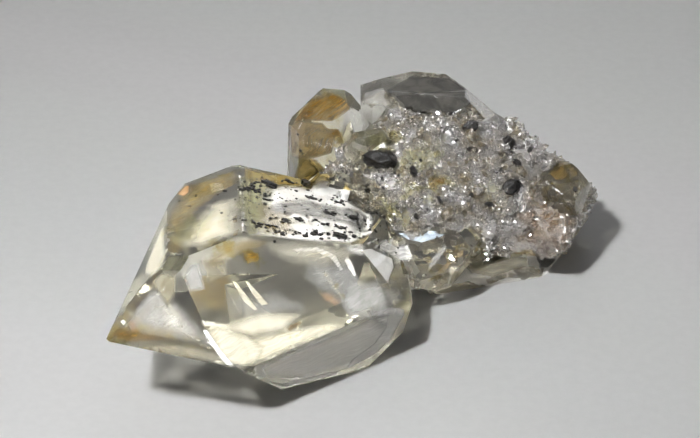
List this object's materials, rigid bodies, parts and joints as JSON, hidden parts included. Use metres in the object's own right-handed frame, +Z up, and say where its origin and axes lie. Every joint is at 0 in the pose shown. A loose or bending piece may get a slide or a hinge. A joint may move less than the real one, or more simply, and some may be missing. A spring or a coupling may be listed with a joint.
{
  "type": "herkimer diamond quartz cluster",
  "caption": "Cluster of clear doubly terminated quartz crystals grown together, with a sparkling druse, golden stain and black carbon lumps, lying on its flat spots.",
  "frame": {"origin": "middle of the cluster's box seen from above, on the plane it rests on", "axes": "+Z up; the large clear crystal points towards -X and -Y, the druse lies towards +X and +Y"},
  "size_m": [0.0488, 0.0466, 0.0176],
  "materials": {
    "quartz": "clear natural crystal faces with golden iron stain and frosted druse",
    "carbon": "brittle black carbon with a dull to bright broken lustre"
  },
  "bodies": {
    "root": {"quartz_cluster": "quartz", "carbon_lump_1": "carbon", "carbon_lump_2": "carbon", "carbon_lump_3": "carbon", "carbon_lump_4": "carbon"}
  },
  "joints": []
}
